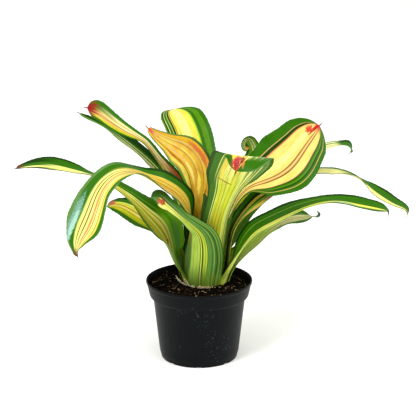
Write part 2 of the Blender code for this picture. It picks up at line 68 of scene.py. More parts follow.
def grid_quads(rows, columns, closed=False):
    """Quads of a grid of points whose columns wrap round; closed joins the last row to the first too."""
    i, j = np.meshgrid(np.arange(rows if closed else rows - 1), np.arange(columns), indexing="ij")
    up, on = (i + 1) % rows, (j + 1) % columns
    quads = np.stack([i * columns + j, up * columns + j, up * columns + on, i * columns + on], axis=-1)
    return quads.reshape(-1, 4)


def outward(points, faces):
    """Turn all faces over if the signed volume, a sum of corner triple products, comes out negative."""
    a, b, c = points[faces[:, 0]], points[faces[:, 1]], points[faces[:, 2]]
    volume = np.einsum("ij,ij->", a, np.cross(b, c))
    if faces.shape[1] == 4:
        volume += np.einsum("ij,ij->", a, np.cross(c, points[faces[:, 3]]))
    return faces[:, ::-1] if volume < 0 else faces


def add_object(name, data):
    """Put a new object in the scene."""
    added = bpy.data.objects.new(name, data)
    bpy.context.scene.collection.objects.link(added)
    return added


def assign(piece, material):
    """Give a piece one material in place of what it has."""
    piece.data.materials.clear()
    piece.data.materials.append(material)


def build(name, points, faces, slot, replaces=(), smooth=True, **layers):
    """Make one piece from points in millimetres, store point layers on it, and ride it on the root."""
    mesh = bpy.data.meshes.new(name)
    points = points.reshape(-1, 3)
    faces = outward(points, faces)
    count, sides = faces.shape
    mesh.vertices.add(len(points))
    mesh.vertices.foreach_set("co", (points * MM).astype(np.float32).ravel())
    mesh.loops.add(count * sides)
    mesh.loops.foreach_set("vertex_index", faces.astype(np.int32).ravel())
    mesh.polygons.add(count)
    mesh.polygons.foreach_set("loop_start", np.arange(count, dtype=np.int32) * sides)
    mesh.update(calc_edges=True)
    mesh.validate()
    for layer, values in layers.items():
        made = mesh.attributes.new(layer, "FLOAT_VECTOR", "POINT")
        made.data.foreach_set("vector", values.astype(np.float32).ravel())
    if smooth:
        mesh.shade_smooth()
    else:
        mesh.shade_flat()
    piece = add_object(name, mesh)
    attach(piece, "root")
    if replaces:
        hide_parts(*replaces)
    return piece


def value_noise(x, y, cell, seed):
    """Smooth random height from 0 to 1: random values on a square lattice, eased between by 3f^2 - 2f^3."""
    lattice = np.random.default_rng(seed).random(LATTICE)
    u, v = x / cell + LATTICE_SHIFT, y / cell + LATTICE_SHIFT
    i, j = np.floor(u).astype(int), np.floor(v).astype(int)
    f, g = u - i, v - j
    f, g = f * f * (3 - 2 * f), g * g * (3 - 2 * g)
    at = lambda a, b: lattice[a % LATTICE[0], b % LATTICE[1]]
    low = at(i, j) * (1 - f) + at(i + 1, j) * f
    high = at(i, j + 1) * (1 - f) + at(i + 1, j + 1) * f
    return low * (1 - g) + high * g


# %% [markdown]
# ## Shader sums in Python
#
# A pattern is arithmetic: a stripe is a comparison, a fade is a product. Nodes can be wired one by one,
# but then the sum is hard to read. A small class wraps a node's output, so that plain expressions add
# the Math nodes, and one method adds any other node.

# %% A socket that can be used in sums


def linear(code):
    """Linear colour from a six-digit hex code: each channel c becomes ((c + 0.055) / 1.055) ^ 2.4."""
    channels = [int(code[i:i + 2], 16) / 255 for i in (0, 2, 4)]
    return tuple(c / 12.92 if c < 0.04045 else ((c + 0.055) / 1.055) ** 2.4 for c in channels) + (1.0,)


class Wire:
    """One output socket of a material's nodes."""

    def __init__(self, material, socket=None):
        self.material, self.tree, self.socket = material, material.node_tree, socket

    def node(self, kind, settings=None, inputs=None, output=0):
        """Add a node: its settings, a ramp's stops among them, then its inputs, as wires, values or codes."""
        made = self.tree.nodes.new("ShaderNode" + kind)
        for key, setting in (settings or {}).items():
            if key == "stops":
                ramp = made.color_ramp.elements
                while len(ramp) > 1:
                    ramp.remove(ramp[-1])
                for k, (position, code) in enumerate(setting):
                    stop = ramp[0] if k == 0 else ramp.new(position)
                    stop.position, stop.color = position, linear(code)
            else:
                setattr(made, key, setting)
        for key, value in (inputs or {}).items():
            if isinstance(value, Wire):
                self.tree.links.new(value.socket, made.inputs[key])
            else:
                made.inputs[key].default_value = linear(value) if isinstance(value, str) else value
        return Wire(self.material, made.outputs[output])

    def math(self, operation, *values):
        """Add a Math node."""
        return self.node("Math", {"operation": operation}, dict(enumerate(values)))

    __add__ = __radd__ = lambda self, other: self.math("ADD", self, other)
    __sub__ = lambda self, other: self.math("SUBTRACT", self, other)
    __mul__ = lambda self, other: self.math("MULTIPLY", self, other)
    __truediv__ = lambda self, other: self.math("DIVIDE", self, other)

    def place(self):
        """The point's place in the object's own coordinates, in metres."""
        return self.node("TexCoord", None, None, "Object")

    def layer(self, name, output="Vector"):
        """Values stored on the mesh's points."""
        return self.node("Attribute", {"attribute_name": name}, None, output)

    def axes(self):
        """The three components of a vector."""
        split = self.node("SeparateXYZ", None, {0: self}).socket.node
        return [Wire(self.material, output) for output in split.outputs]

    def noise(self, at, scale, detail, rough=0.5):
        """Fractal noise from 0 to 1 at a vector."""
        inputs = {"Vector": at, "Scale": scale, "Detail": detail, "Roughness": rough}
        return self.node("TexNoise", None, inputs)

    def grain(self, x, y, z, detail, rough=0.5):
        """Fractal noise at three coordinates, each already at its own scale."""
        return self.noise(self.node("CombineXYZ", None, {0: x, 1: y, 2: z}), 1.0, detail, rough)

    def fade(self, low, high):
        """0 below low, 1 above high, eased between; low may be above high."""
        return self.node("MapRange", {"interpolation_type": "SMOOTHSTEP"},
                         {"Value": self, "From Min": low, "From Max": high})

    def blend(self, a, b, mode="MIX"):
        """Mix colour a to colour b by this value."""
        return self.node("Mix", {"data_type": "RGBA", "blend_type": mode}, {0: self, 6: a, 7: b}, 2)

    def ramp(self, stops):
        """Colour at this value, from (position, code) stops."""
        return self.node("ValToRGB", {"stops": stops}, {0: self})

    def feed(self, name):
        """Link this to an input of the material's shader."""
        self.tree.links.new(self.socket, self.tree.nodes["Principled BSDF"].inputs[name])

    def feed_bump(self, relief, strength):
        """Feed the normal from this height in 0 to 1; the relief is in metres."""
        self.node("Bump", None, {"Height": self, "Distance": relief, "Strength": strength}).feed("Normal")


def new_finish(name, roughness, specular):
    """A Principled material with its constant values, as a wire to start sums from."""
    material = bpy.data.materials.new(name)
    material.use_nodes = True
    shader = material.node_tree.nodes["Principled BSDF"].inputs
    shader["Roughness"].default_value, shader["Specular IOR Level"].default_value = roughness, specular
    return Wire(material)


# %% [markdown]
# ## The leaf blade
#
# A bromeliad leaf starts as a sheath, an arc that wraps the stem and its younger neighbours, and turns
# into a channelled strap that arches out and ends in a short spine. It could be a bent plane with
# modifiers, but its curl, cup and twist change all the way along. So the blade is a function: a midrib
# through stations in space, a width direction carried along it without twist, and across each place an
# arc that opens by the cup angle and tilts by the roll.

# %% Curves through stations


def unit(vectors):
    """Scale vectors to length 1."""
    return vectors / np.maximum(np.linalg.norm(vectors, axis=-1, keepdims=True), 1e-9)


def lengths_along(points):
    """Length of a line of points from its start to each of them."""
    return np.append(0.0, np.cumsum(np.linalg.norm(np.diff(points, axis=0), axis=1)))


def natural_spline(knots, values, at):
    """Natural cubic spline: pieces a v0 + b v1 + ((a^3 - a) m0 + (b^3 - b) m1) h^2 / 6, bend m continuous."""
    count, step = len(knots), np.diff(knots)
    matrix, right = np.eye(count), np.zeros((count, values.shape[1]))
    for i in range(1, count - 1):
        matrix[i, i - 1:i + 2] = step[i - 1], 2 * (step[i - 1] + step[i]), step[i]
        right[i] = 6 * ((values[i + 1] - values[i]) / step[i] - (values[i] - values[i - 1]) / step[i - 1])
    bend = np.linalg.solve(matrix, right)
    k = np.clip(np.searchsorted(knots, at, side="right") - 1, 0, count - 2)
    a = ((knots[k + 1] - at) / step[k])[:, None]
    b = 1 - a
    cubic = ((a ** 3 - a) * bend[k] + (b ** 3 - b) * bend[k + 1]) * step[k][:, None] ** 2 / 6
    return a * values[k] + b * values[k + 1] + cubic


def eased(knots, values, at):
    """Monotone cubic: Hermite pieces whose slopes are harmonic means of their neighbours', 0 at turns."""
    step = np.diff(knots)
    slope = np.diff(values) / step
    tangent = np.zeros(len(values))
    tangent[0], tangent[-1] = slope[0], slope[-1]
    for i in range(1, len(values) - 1):
        if slope[i - 1] * slope[i] > 0:
            near, far = 2 * step[i] + step[i - 1], step[i] + 2 * step[i - 1]
            tangent[i] = (near + far) / (near / slope[i - 1] + far / slope[i])
    k = np.clip(np.searchsorted(knots, at, side="right") - 1, 0, len(values) - 2)
    t = (at - knots[k]) / step[k]
    start = (2 * t ** 3 - 3 * t ** 2 + 1) * values[k] + (t ** 3 - 2 * t ** 2 + t) * step[k] * tangent[k]
    end = (3 * t ** 2 - 2 * t ** 3) * values[k + 1] + (t ** 3 - t ** 2) * step[k] * tangent[k + 1]
    return start + end


# %% The sheaths, packed round the stem
PLANT = np.array([7.0, 12.0])
OUTER_RADIUS, LAYER_STEP = 27.8, 2.2
STEM_TOP, STEM_TOP_RADIUS, STEM_SLOPE = 82.6, 6, 0.38
SHEATH_HEIGHT, SHEATH_FLARE = 18, 0.22


def seat_of(radius):
    """Height of a sheath's foot on the stem's sloping top."""
    return STEM_TOP - STEM_SLOPE * (radius - STEM_TOP_RADIUS)


def flared(radius, rise):
    """Radius of a sheath at a rise above its foot: it widens as rise ^ 1.6."""
    return radius + SHEATH_FLARE * (radius - STEM_TOP_RADIUS) * (rise / SHEATH_HEIGHT) ** 1.6


def sheath(degrees, layer, half_wrap):
    """Stations of a leaf base: an arc concentric with the plant, at three heights."""
    angle, radius = math.radians(degrees), OUTER_RADIUS - LAYER_STEP * layer
    stations = []
    for rise in (0.0, 8.0, 18.0):
        out = flared(radius, rise)
        wrap = half_wrap * (1 - 0.1 * rise / SHEATH_HEIGHT)
        stations.append((PLANT[0] + out * math.cos(angle), PLANT[1] + out * math.sin(angle),
                         seat_of(radius) + rise, 2 * out * math.radians(wrap), wrap, 0.0))
    return stations


# %% From stations to a blade
LEAF_THICKNESS, MARGIN_THICKNESS = 0.9, 0.35
SPIKE_LENGTH, SPIKE_HALF_WIDTH = 5.0, 0.9
EDGE_RIPPLE, TOOTH_LENGTH, TOOTH_GAPS = 0.9, 0.35, 0.55
ROW_PITCH, COLUMNS, SPLINE_STEPS = 1.5, 22, 240


def carry(tangents, across):
    """Project the width direction onto the plane across each tangent in turn, so that it never twists."""
    directions = np.empty_like(tangents)
    for i, tangent in enumerate(tangents):
        across = unit(across - (across @ tangent) * tangent)
        directions[i] = across
    return directions


def blade(stations, seed):
    """A leaf's middle surface, its facing, shares across from -1 to 1, and rows' places and half widths."""
    stations = np.array(stations)
    chord = lengths_along(stations[:, :3])
    fine = np.linspace(0.0, chord[-1], SPLINE_STEPS)
    midrib = natural_spline(chord, stations[:, :3], fine)
    arc = lengths_along(midrib)
    tangents = unit(np.gradient(midrib, arc, axis=0))
    outward_way = unit(np.append(stations[0, :2] - PLANT, 0.0))
    widthwise = carry(tangents, np.array([-outward_way[1], outward_way[0], 0.0]))
    upward = np.cross(widthwise, tangents)
    upward *= -np.sign(upward[0] @ outward_way)

    place = np.linspace(0.0, arc[-1], int(arc[-1] / ROW_PITCH) + 2)
    knots = np.interp(chord, fine, arc)
    half = eased(knots, stations[:, 3], place) / 2
    cup, roll = (np.radians(eased(knots, stations[:, k], place)) for k in (4, 5))
    centre, widthwise, upward = (np.stack([np.interp(place, arc, grid[:, i]) for i in range(3)], axis=1)
                                 for grid in (midrib, widthwise, upward))
    turn_cos, turn_sin = np.cos(roll)[:, None], np.sin(roll)[:, None]
    lateral = widthwise * turn_cos + upward * turn_sin
    normal = upward * turn_cos - widthwise * turn_sin

    left = arc[-1] - place
    rounding = np.clip((half[-1] + SPIKE_LENGTH - left) / half[-1], 0.0, 1.0)
    fullness = np.sqrt(1 - rounding ** 2)
    spike = SPIKE_HALF_WIDTH * (1 + 2 * np.clip(left / SPIKE_LENGTH, 0.0, 1.0)) / 3
    half = np.maximum(half * fullness, spike)
    cup = np.where(np.abs(cup) < 0.01, 0.01, cup)[:, None]
    t = np.sin(np.linspace(-0.5, 0.5, COLUMNS + 1) * math.pi)
    sideways = half[:, None] * np.sin(cup * t) / cup
    inwards = half[:, None] * (1 - np.cos(cup * t)) / cup
    open_part = (np.clip(place / 60 - 0.6, 0, 1) * fullness)[:, None]
    waves = 4 + seed % 3
    wave = np.sin(math.tau * waves * (place / arc[-1])[:, None] + np.where(t < 0, 0.0, 1.9) + seed)
    inwards = inwards + EDGE_RIPPLE * np.abs(t) ** 3 * wave * open_part
    teeth = TOOTH_LENGTH * (np.random.default_rng(seed).random((len(place), 2)) > TOOTH_GAPS)
    sideways[:, [0, -1]] += [-1, 1] * teeth * open_part
    points = centre[:, None] + lateral[:, None] * sideways[..., None] + normal[:, None] * inwards[..., None]
    return points, normal, t, place, half


def thicken(points, facing, thickness):
    """Close a sheet: upper points on one side at half the thickness, lower on the other, zipped all round."""
    rows, count, _ = points.shape
    normals = unit(np.cross(np.gradient(points, axis=0), np.gradient(points, axis=1)))
    if np.einsum("ij,ij->", normals[:, count // 2], facing) < 0:
        normals = -normals
    offset = normals * (thickness / 2)[..., None]
    upper, lower = points + offset, points - offset
    shell = np.concatenate([upper, lower[:, ::-1]], axis=1)
    faces = grid_quads(rows, 2 * count)
    j = np.arange(count - 1)
    first = np.stack([j, j + 1, 2 * count - 2 - j, 2 * count - 1 - j], axis=1)
    last = first[:, ::-1] + (rows - 1) * 2 * count
    faces = np.concatenate([faces, first, last])
    return shell.reshape(-1, 3), faces


def add_blade(name, stations, replaces, seed):
    """Build one leaf as a closed blade, thicker along its middle, with layers that its material reads."""
    points, facing, t, place, half = blade(stations, seed)
    rows, count = points.shape[:2]
    section = MARGIN_THICKNESS + (LEAF_THICKNESS - MARGIN_THICKNESS) * np.sqrt(np.clip(1 - t ** 2, 0, 1))
    section = section * np.clip(half / 1.5, 0.35, 1.0)[:, None]
    shell, faces = thicken(points, facing, section)

    def both_sides(values):
        """Spread values over the upper points of every row, then over the lower ones, which run back."""
        upper = np.broadcast_to(values, (rows, count))
        return np.concatenate([upper, upper[:, ::-1]], axis=1).ravel()

    across, along = both_sides(t), both_sides(place[:, None])
    side = np.tile(np.repeat([1.0, -1.0], count), rows)
    leaf = np.stack([across, along / place[-1], side], axis=1)
    size = np.stack([across * both_sides(half[:, None]), along, place[-1] - along], axis=1)
    piece = build(name, shell, faces, name, replaces, leaf=leaf, size=size / 10)
    return piece, place[-1], len(faces)


# %% [markdown]
# ## Striped leaf tissue
#
# The stripes run lengthwise and narrow together towards the tip, because each is a strip of cells with
# or without green in it. So the colour is a ramp over the share of the width, with a little slow wander.
# Fine fibres, a paler scurfy underside, a pale foot and a flushed tip are laid over it. Painting it would
# need an image, and a wave texture would give stripes of equal width, so each leaf lists its own bands.

# %% Colours and the leaf finish
TONES = dict(
    # greens: deep, darkest, middle, bright, a light green painted over feet in shade (painted light), light
    # line, greyish
    g="2c6000", d="123600", m="4c7c04", h="62a010", j="7cbc2a", l="86a44a", s="567b40",
    # limes and yellows: soft lime, lime, old lime, clear yellow, pale yellow, cream
    q="b2c85a", v="bcc71c", z="b4a912", y="dfc450", p="e4dd84", c="dcd3a0",
    # golds: golden, light golden, tan, peach yellow
    o="c79a28", a="d3ad44", t="cba868", w="dcc26e",
    # reds and lines: pink orange, brick red, brown line, thin dark line
    k="d08a58", x="94482a", b="5e3a0c", e="2c4a08",
)
BAND_EDGE, SPOT_STRENGTH = 0.006, 0.94
# The second tint is the olive multiplied over a leaf's lower part as painted shade.
FIBRE_TINT, FOOT_SHADE_TINT = (0.62, 0.74, 0.30, 1.0), (0.72, 0.76, 0.16, 1.0)
FLUSH_TINT, SCURF, PALE_FOOT, DRY_SPIKE = "c07a3a", "93a378", "8fa032", "3a2010"


def band_stops(bands, begin):
    """Ramp stops of a list of (tone letter, share of the width), each band with a narrow soft edge."""
    stops, position = [], begin
    for letter, share in bands:
        edge = min(BAND_EDGE, share / 3)
        stops.append((min(1.0, position + edge), TONES[letter]))
        position += share
        stops.append((max(0.0, min(1.0, position - edge)), TONES[letter]))
    return stops


def striped(place, text):
    """Colour at a place from 0 to 1 across; a ramp holds 16 bands, so longer lists take two ramps."""
    bands = parse_bands(text)
    half = (len(bands) + 1) // 2
    middle = sum(share for _, share in bands[:half])
    if len(bands) <= 16:
        return place.ramp(band_stops(bands, 0.0))
    first, second = (place.ramp(band_stops(*part)) for part in ((bands[:half], 0.0), (bands[half:], middle)))
    return place.math("GREATER_THAN", place, middle).blend(first, second)


def parse_bands(text):
    """Read "g30 y10" as three quarters of the width in tone g, then a quarter in tone y."""
    bands = [(word[0], float(word[1:])) for word in text.split()]
    total = sum(share for _, share in bands)
    return [(letter, share / total) for letter, share in bands]


def leaf_finish(name, bands, seed, tip, zones=(), spots=(), warm=0.0, foot_shade=0.45):
    """Striped tissue: bands at the foot, then each zone (bands, mm from the tip, mm of change) further out.

    A fourth entry, 1, keeps a zone to the upper face. tip is (colour, length in mm, share of width); spots
    are (across in mm, mm from foot, half sizes along both, lean in degrees, colour); some spots are painted
    sheen. foot_shade is how far the lower part, towards the foot, is painted darker olive as shade, and warm
    how far it flushes orange.
    """
    start = new_finish(name, 0.34, 0.07)
    across, along, side = start.layer("leaf").axes()
    sideways, length, left = start.layer("size").axes()  # in centimetres
    wander = start.grain(across * 1.3 + seed * 7.0, along * 3.5, seed, 1.0) - 0.5
    fine = start.grain(across * 9.0 + seed * 3.0, along * 1.2, seed, 3.0)
    place = across * 0.5 + 0.5 + wander * 0.05 + (fine - 0.5) * 0.03
    colour = striped(place, bands)
    for zone_bands, reach, change, *upper_only in zones:
        beyond = (left + wander).fade((reach + change) / 10, (reach - change) / 10)
        if upper_only:
            beyond = beyond * side.fade(-0.2, 0.2)
        colour = beyond.blend(colour, striped(place, zone_bands))

    # Over the stripes, in turn: fibres, painted shade on the foot, the flush, scurf, the pale sheath, spots
    # and tip.
    fibres = start.grain(sideways * 26.0, length * 0.5, seed, 3.0, 0.6)
    patches = start.grain(sideways * 2.0, length * 0.8, seed + 5.0, 2.0)
    shade = (fibres * 0.6 + patches * 0.4).fade(0.66, 0.34) * 0.72
    colour = shade.blend(colour, FIBRE_TINT, "MULTIPLY")
    # Painted shade: towards the foot the colour is multiplied darker olive.
    foot_shading = length.fade(13.5, 5.0) * foot_shade
    colour = foot_shading.blend(colour, FOOT_SHADE_TINT, "MULTIPLY")
    if warm:
        flush = (patches * 0.6 + fine * 0.4).fade(0.42, 0.68) * warm
        colour = flush.blend(colour, FLUSH_TINT, "MULTIPLY")
    under = side.fade(0.0, -0.4)
    scurf = start.grain(sideways * 9.0, length * 5.0, seed, 2.0)
    colour = (under * (0.02 + scurf * 0.10)).blend(colour, SCURF)
    low = length.fade(3.6, 1.4) * (0.05 + fibres * 0.40)
    colour = low.blend(colour, PALE_FOOT)
    streaks = start.grain(sideways * 13.0, length * 4.0, seed + 9.0, 3.0, 0.6)
    for spot_across, spot_along, wide, long, lean, code in spots:
        angle = math.radians(lean)
        turn_cos, turn_sin = math.cos(angle), math.sin(angle)
        dx, dy = sideways - spot_across / 10, length - spot_along / 10
        ex = (dx * turn_cos + dy * turn_sin) / (wide / 10)
        ey = (dy * turn_cos - dx * turn_sin) / (long / 10)
        inside = (ex * ex + ey * ey + (streaks - 0.5) * 4.0).fade(1.5, 0.4)
        colour = (inside * SPOT_STRENGTH).blend(colour, code)
    tip_code, tip_length, tip_share = tip
    reach = left / (tip_length / 10) + (across / tip_share) * (across / tip_share) + (fine - 0.5) * 1.6
    colour = reach.fade(1.35, 0.55).blend(colour, tip_code)
    colour = left.fade(0.42, 0.2).blend(colour, DRY_SPIKE)
    colour.feed("Base Color")
    (0.26 + patches * 0.12 + under * 0.16 + low * 0.15).feed("Roughness")
    (fibres * 0.7 + patches * 0.3).feed_bump(0.00035, 0.6)
    return start.material


# %% The stations of every leaf
# Angle round the stem, layer and half wrap, then the blade's stations from the stem to the tip.
LEAVES = dict(
    far_left=(182, 2, 42, """
        -29.5 4 115 44 44 -10, -35 7 133 58 42 -20, -42.5 8 149.5 59 40 -32, -56 7 165 41 36 -36,
        -73 6 182 28 35 -28, -91 5 196 22 35 -14, -116 4 210 18 30 2, -140 3 217.5 24 28 -16,
        -162 2 223 24.5 28 -19, -182 1 224 20 30 -18, -197 0 221.5 12 30 -14, -207 0 219 5 30 -5"""),
    low_left=(150, 1, 30, """
        -25 31 118 26 42 -5, -40 41 133 29 40 -15, -59 53 141 28 32 -32, -78 67 150 27 25 -45,
        -94 78 154 20 25 -48, -104 82 153 15 25 -30, -112 83 149.5 8 30 -10"""),
    arching_left=(222, 3, 45, """
        -9 -13 162 29 46 -29, -17 -19 187.5 38 42 -56, -36.5 -34 209 37 42 -48, -56 -45 222.5 33 35 -24,
        -71 -54 231 34 25 -16, -88 -63 231 37 20 -22, -103.5 -70 219 45 15 -22, -112.5 -75 201 51 15 -26,
        -120.5 -79 181 52 18 -30, -129 -82.5 161 34 26 -22, -130 -84.5 148 11 30 -5, -127 -85 141 6"""),
    curled_upper_left=(152, 5, 36, """
        -16 20 150 17 50 -5, -29 22 200 25 50 -5, -39 27 214 21 48 -5, -51 33 229 15 45 -6,
        -64 41 242 13 35 -8, -75 45 247.5 16 28 -18, -89 48 255 21 25 -25, -104 50 265.5 24 22 -27,
        -117 49 275 25 22 -25, -130 46 279 21 25 -20"""),
    pointed_upper_left=(132, 4, 28, """
        -18 54 168 22 45, -38 68 190 23 45, -59 80 209 22 40, -87 92 229.5 17 35, -111 102 244 11 35,
        -130 108 252 6, -143 112 258 3"""),
    orange=(125, 8, 52, """
        -3 12 164 22 45, -3 14 182 30 42, -3 18 200 41 35, -8 21 219.5 48 25, -19 24 232 45 20,
        -37 28 242.5 26 20, -49 29 251 14 20, -60 29 262 4"""),
    tall_yellow=(97, 7, 46, """
        4 40 172 31 45, 2 54 198 42 35, -4 66 219 48 25, -11 76 239 52 20 5, -19 88 254.5 52 15 12,
        -27 101 261.5 49 15 16, -33 111 262 38 15 16"""),
    folded_front=(-75, 4, 46, """
        17 -10 140 38 60, 22 -20 172 37 58, 30.5 -32 199 45 50, 38 -42 221 63 27 -3, 46.5 -51 240 69 15 -8,
        49.5 -60 250 60 5 -10, 46 -68 248 54 -8 -8, 41 -72 241 50 -12 -4, 38 -74 233 46 -12"""),
    broad_right=(15, 6, 42, """
        31 22 136 32 50, 39 27 168 35 52 8, 52 30 189 43 50 22, 74 34 201.5 64 28 42, 97 40.5 215 78 18 48,
        117 49 236.5 64 18 50, 130 53 250.5 53 18 50, 139.5 55 258.5 46 18 50"""),
    curled_rear=(92, 6, 32, """
        19 66 158 24 40, 40 90 179 20 35, 59 102 202 18, 64 106 214 16, 61.5 106 222 15, 57 105 227 14,
        53 104 225 14, 51.5 103.5 220 13, 54 103.5 216 11, 58 103.5 217.5 9, 56.5 103.5 221 5"""),
    rear_right=(54, 5, 32, """
        34.5 46 120 23 42, 53 64 146 28 42, 86 84 178 23 40 5, 120 98 205 16 28, 146 108 217 12 12 -9,
        162 114 219 11 12 -11, 171 118 218 12 20, 177 121 215 15 30 15, 179 122 209 13 35 10,
        175.5 122 203 7 35"""),
    far_right=(6, 3, 28, """
        40.5 17 146 20 26 4, 55 21 165 25 34 18, 69 24 177 28 38 28, 87 31 187 25 35 26,
        108 38 197 22 30 20, 134 45 203.5 21 25 18, 150 47 203 21 25 16, 165 46 201.5 17 28 6,
        179 45 197 14 30 5, 197 42 184 23 25 24, 212 38 174 25 25 27, 226 34 167 25 28 22,
        235.5 31.5 161.5 20 30 14, 235 31 152 9"""),
    right_front=(-20, 2, 34, """
        38 -6 110 32 32 10, 49 -10 133 36 34 22, 63 -11 151 37 38 29, 79 -14 162 35 35 28,
        100 -18 174 32 33 25, 131 -24 187.5 26 33 17, 146 -27 190.5 24 30 13, 160 -29 190.3 22 28 20,
        176 -31 187.8 24 28 27, 191 -33 185.2 23 28 25, 201 -34 183 19 30 16, 207 -34.5 180 11,
        206 -34.5 173 5 25"""),
    low_right=(25, 1, 45, """
        58 32 118 27 45 5, 80 51 133 27 40 10, 103 66 140.5 25 33 22, 118 73 141.5 23 30 28,
        127 77 141 16 30 20, 132.5 79 140.5 4.5 25, 138 80.5 140 6 25, 140.5 81 143 7 25, 138.5 81 146 7 25,
        135.5 80.5 144.5 6 25, 136.5 80.5 142 3 25"""),
    short_front=(-92, 1, 42, """
        8.5 -20 117 42 48, 8 -22 136 38 48, 4 -27 151 29 46, -6 -33 164 19 42, -18 -38 176 14 42,
        -28 -42 187 13 38 15, -35 -44.5 194 16 28 45, -41 -46 200 21 15 70, -48 -47 202 23 10 80,
        -55 -47.5 198 20 10 85"""),
    low_rear=(86, 2, 40, """
        9 64 118 31 45, 12 98 146 34 35, 14 132 158 30, 14 164 150 22, 13 184 130 8"""),
    short_rear_right=(72, 4, 26, """
        29 50 118 23 45, 43 73 140 26 40, 55 95 156 20 35, 63 111 160 7"""),
    short_rear_left=(110, 3, 27, """
        -4 53 118 26 45, -14 79 140 26 40, -24 101 154 18 35, -31 115 158 7"""),
    heart_left=(205, 9, 45, """
        0 8 110 17 55, 2 5 140 19 50, 4 2 168 18 40, 6 -1 187 12, 7 -2 196 5"""),
    heart_right=(-20, 7, 48, """
        20 7 110 22 60, 22 5 135 22 50, 25 4 152 17 40, 28 2 166 5"""),
)

